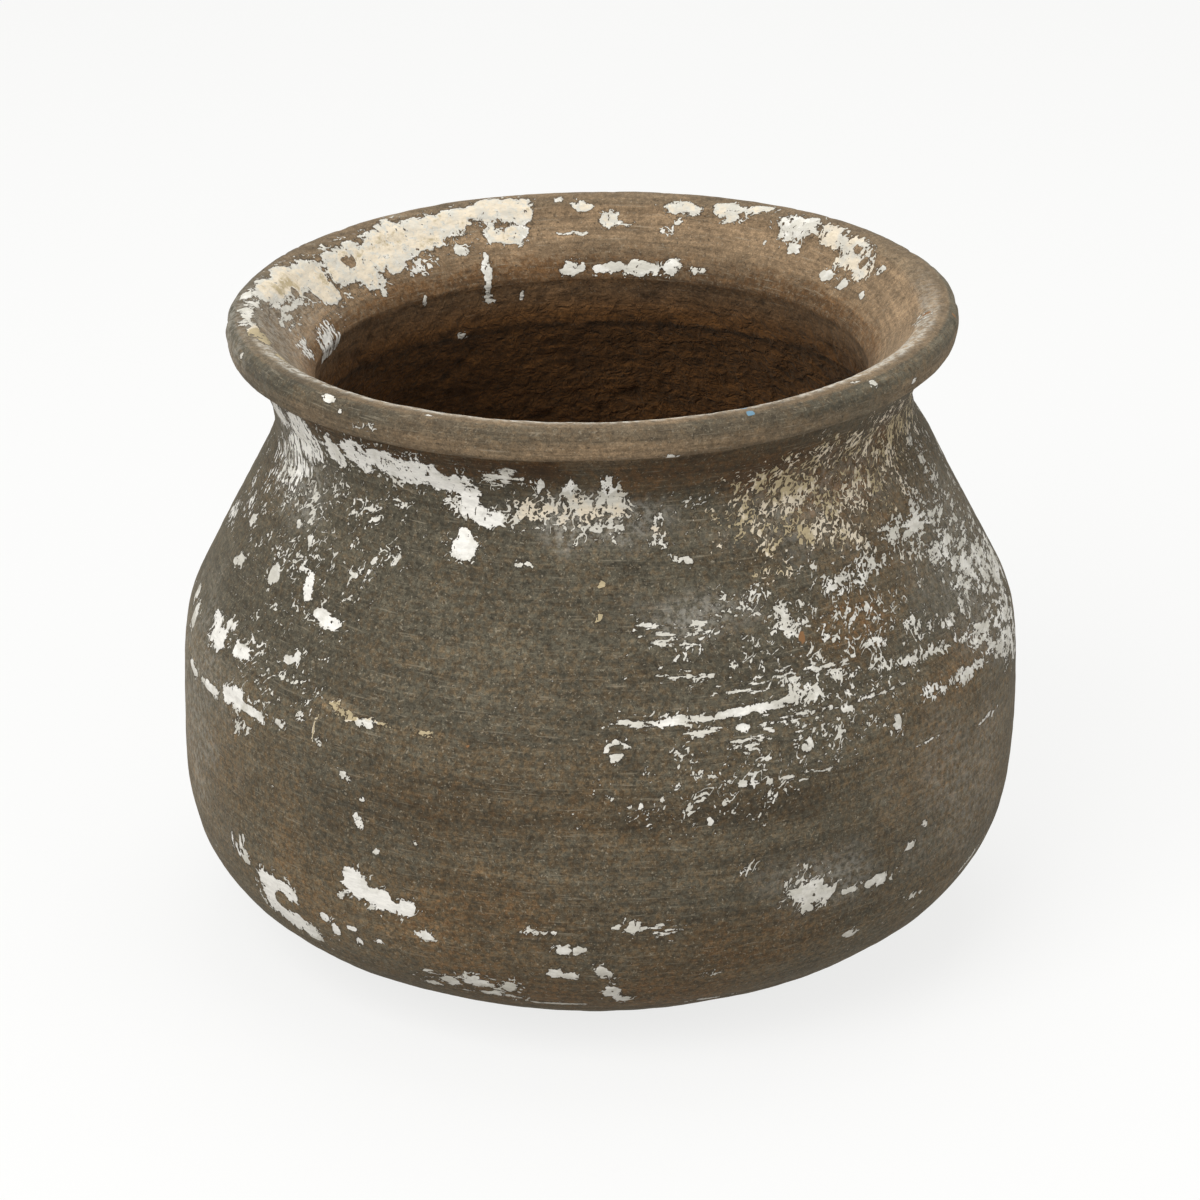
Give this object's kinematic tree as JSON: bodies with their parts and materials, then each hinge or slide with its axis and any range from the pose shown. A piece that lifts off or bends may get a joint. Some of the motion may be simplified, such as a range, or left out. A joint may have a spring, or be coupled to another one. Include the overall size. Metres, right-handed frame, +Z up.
{
  "type": "terracotta water pot",
  "caption": "Round-bellied fired-clay water pot with a sloping shoulder, a tight neck, a wide flared rim with a rolled lip and a flattened base; open at the top, no lid.",
  "frame": {"origin": "middle of the flat underside, on the surface that the pot stands on", "axes": "+Z up along the pot's axis; -Y is the side that faces the picture's camera"},
  "size_m": [0.25, 0.25, 0.1923],
  "materials": {
    "body_clay": "unglazed low-fired clay, weathered dark grey-brown, matt, with flaking remains of white limewash",
    "luting_clay": "unglazed low-fired clay, dark brown, rough and finger-wiped",
    "rim_clay": "unglazed low-fired clay, warm brown, matt, worn smooth at the lip, with cream limewash remains"
  },
  "bodies": {
    "root": {"base_dish": "body_clay", "base_coil": "luting_clay", "lower_wall": "body_clay", "belly_coil": "luting_clay", "belly_band": "body_clay", "waist_coil": "luting_clay", "shoulder_wall": "body_clay", "neck_coil": "body_clay", "neck_collar": "rim_clay", "rim_lip": "rim_clay"}
  },
  "joints": []
}
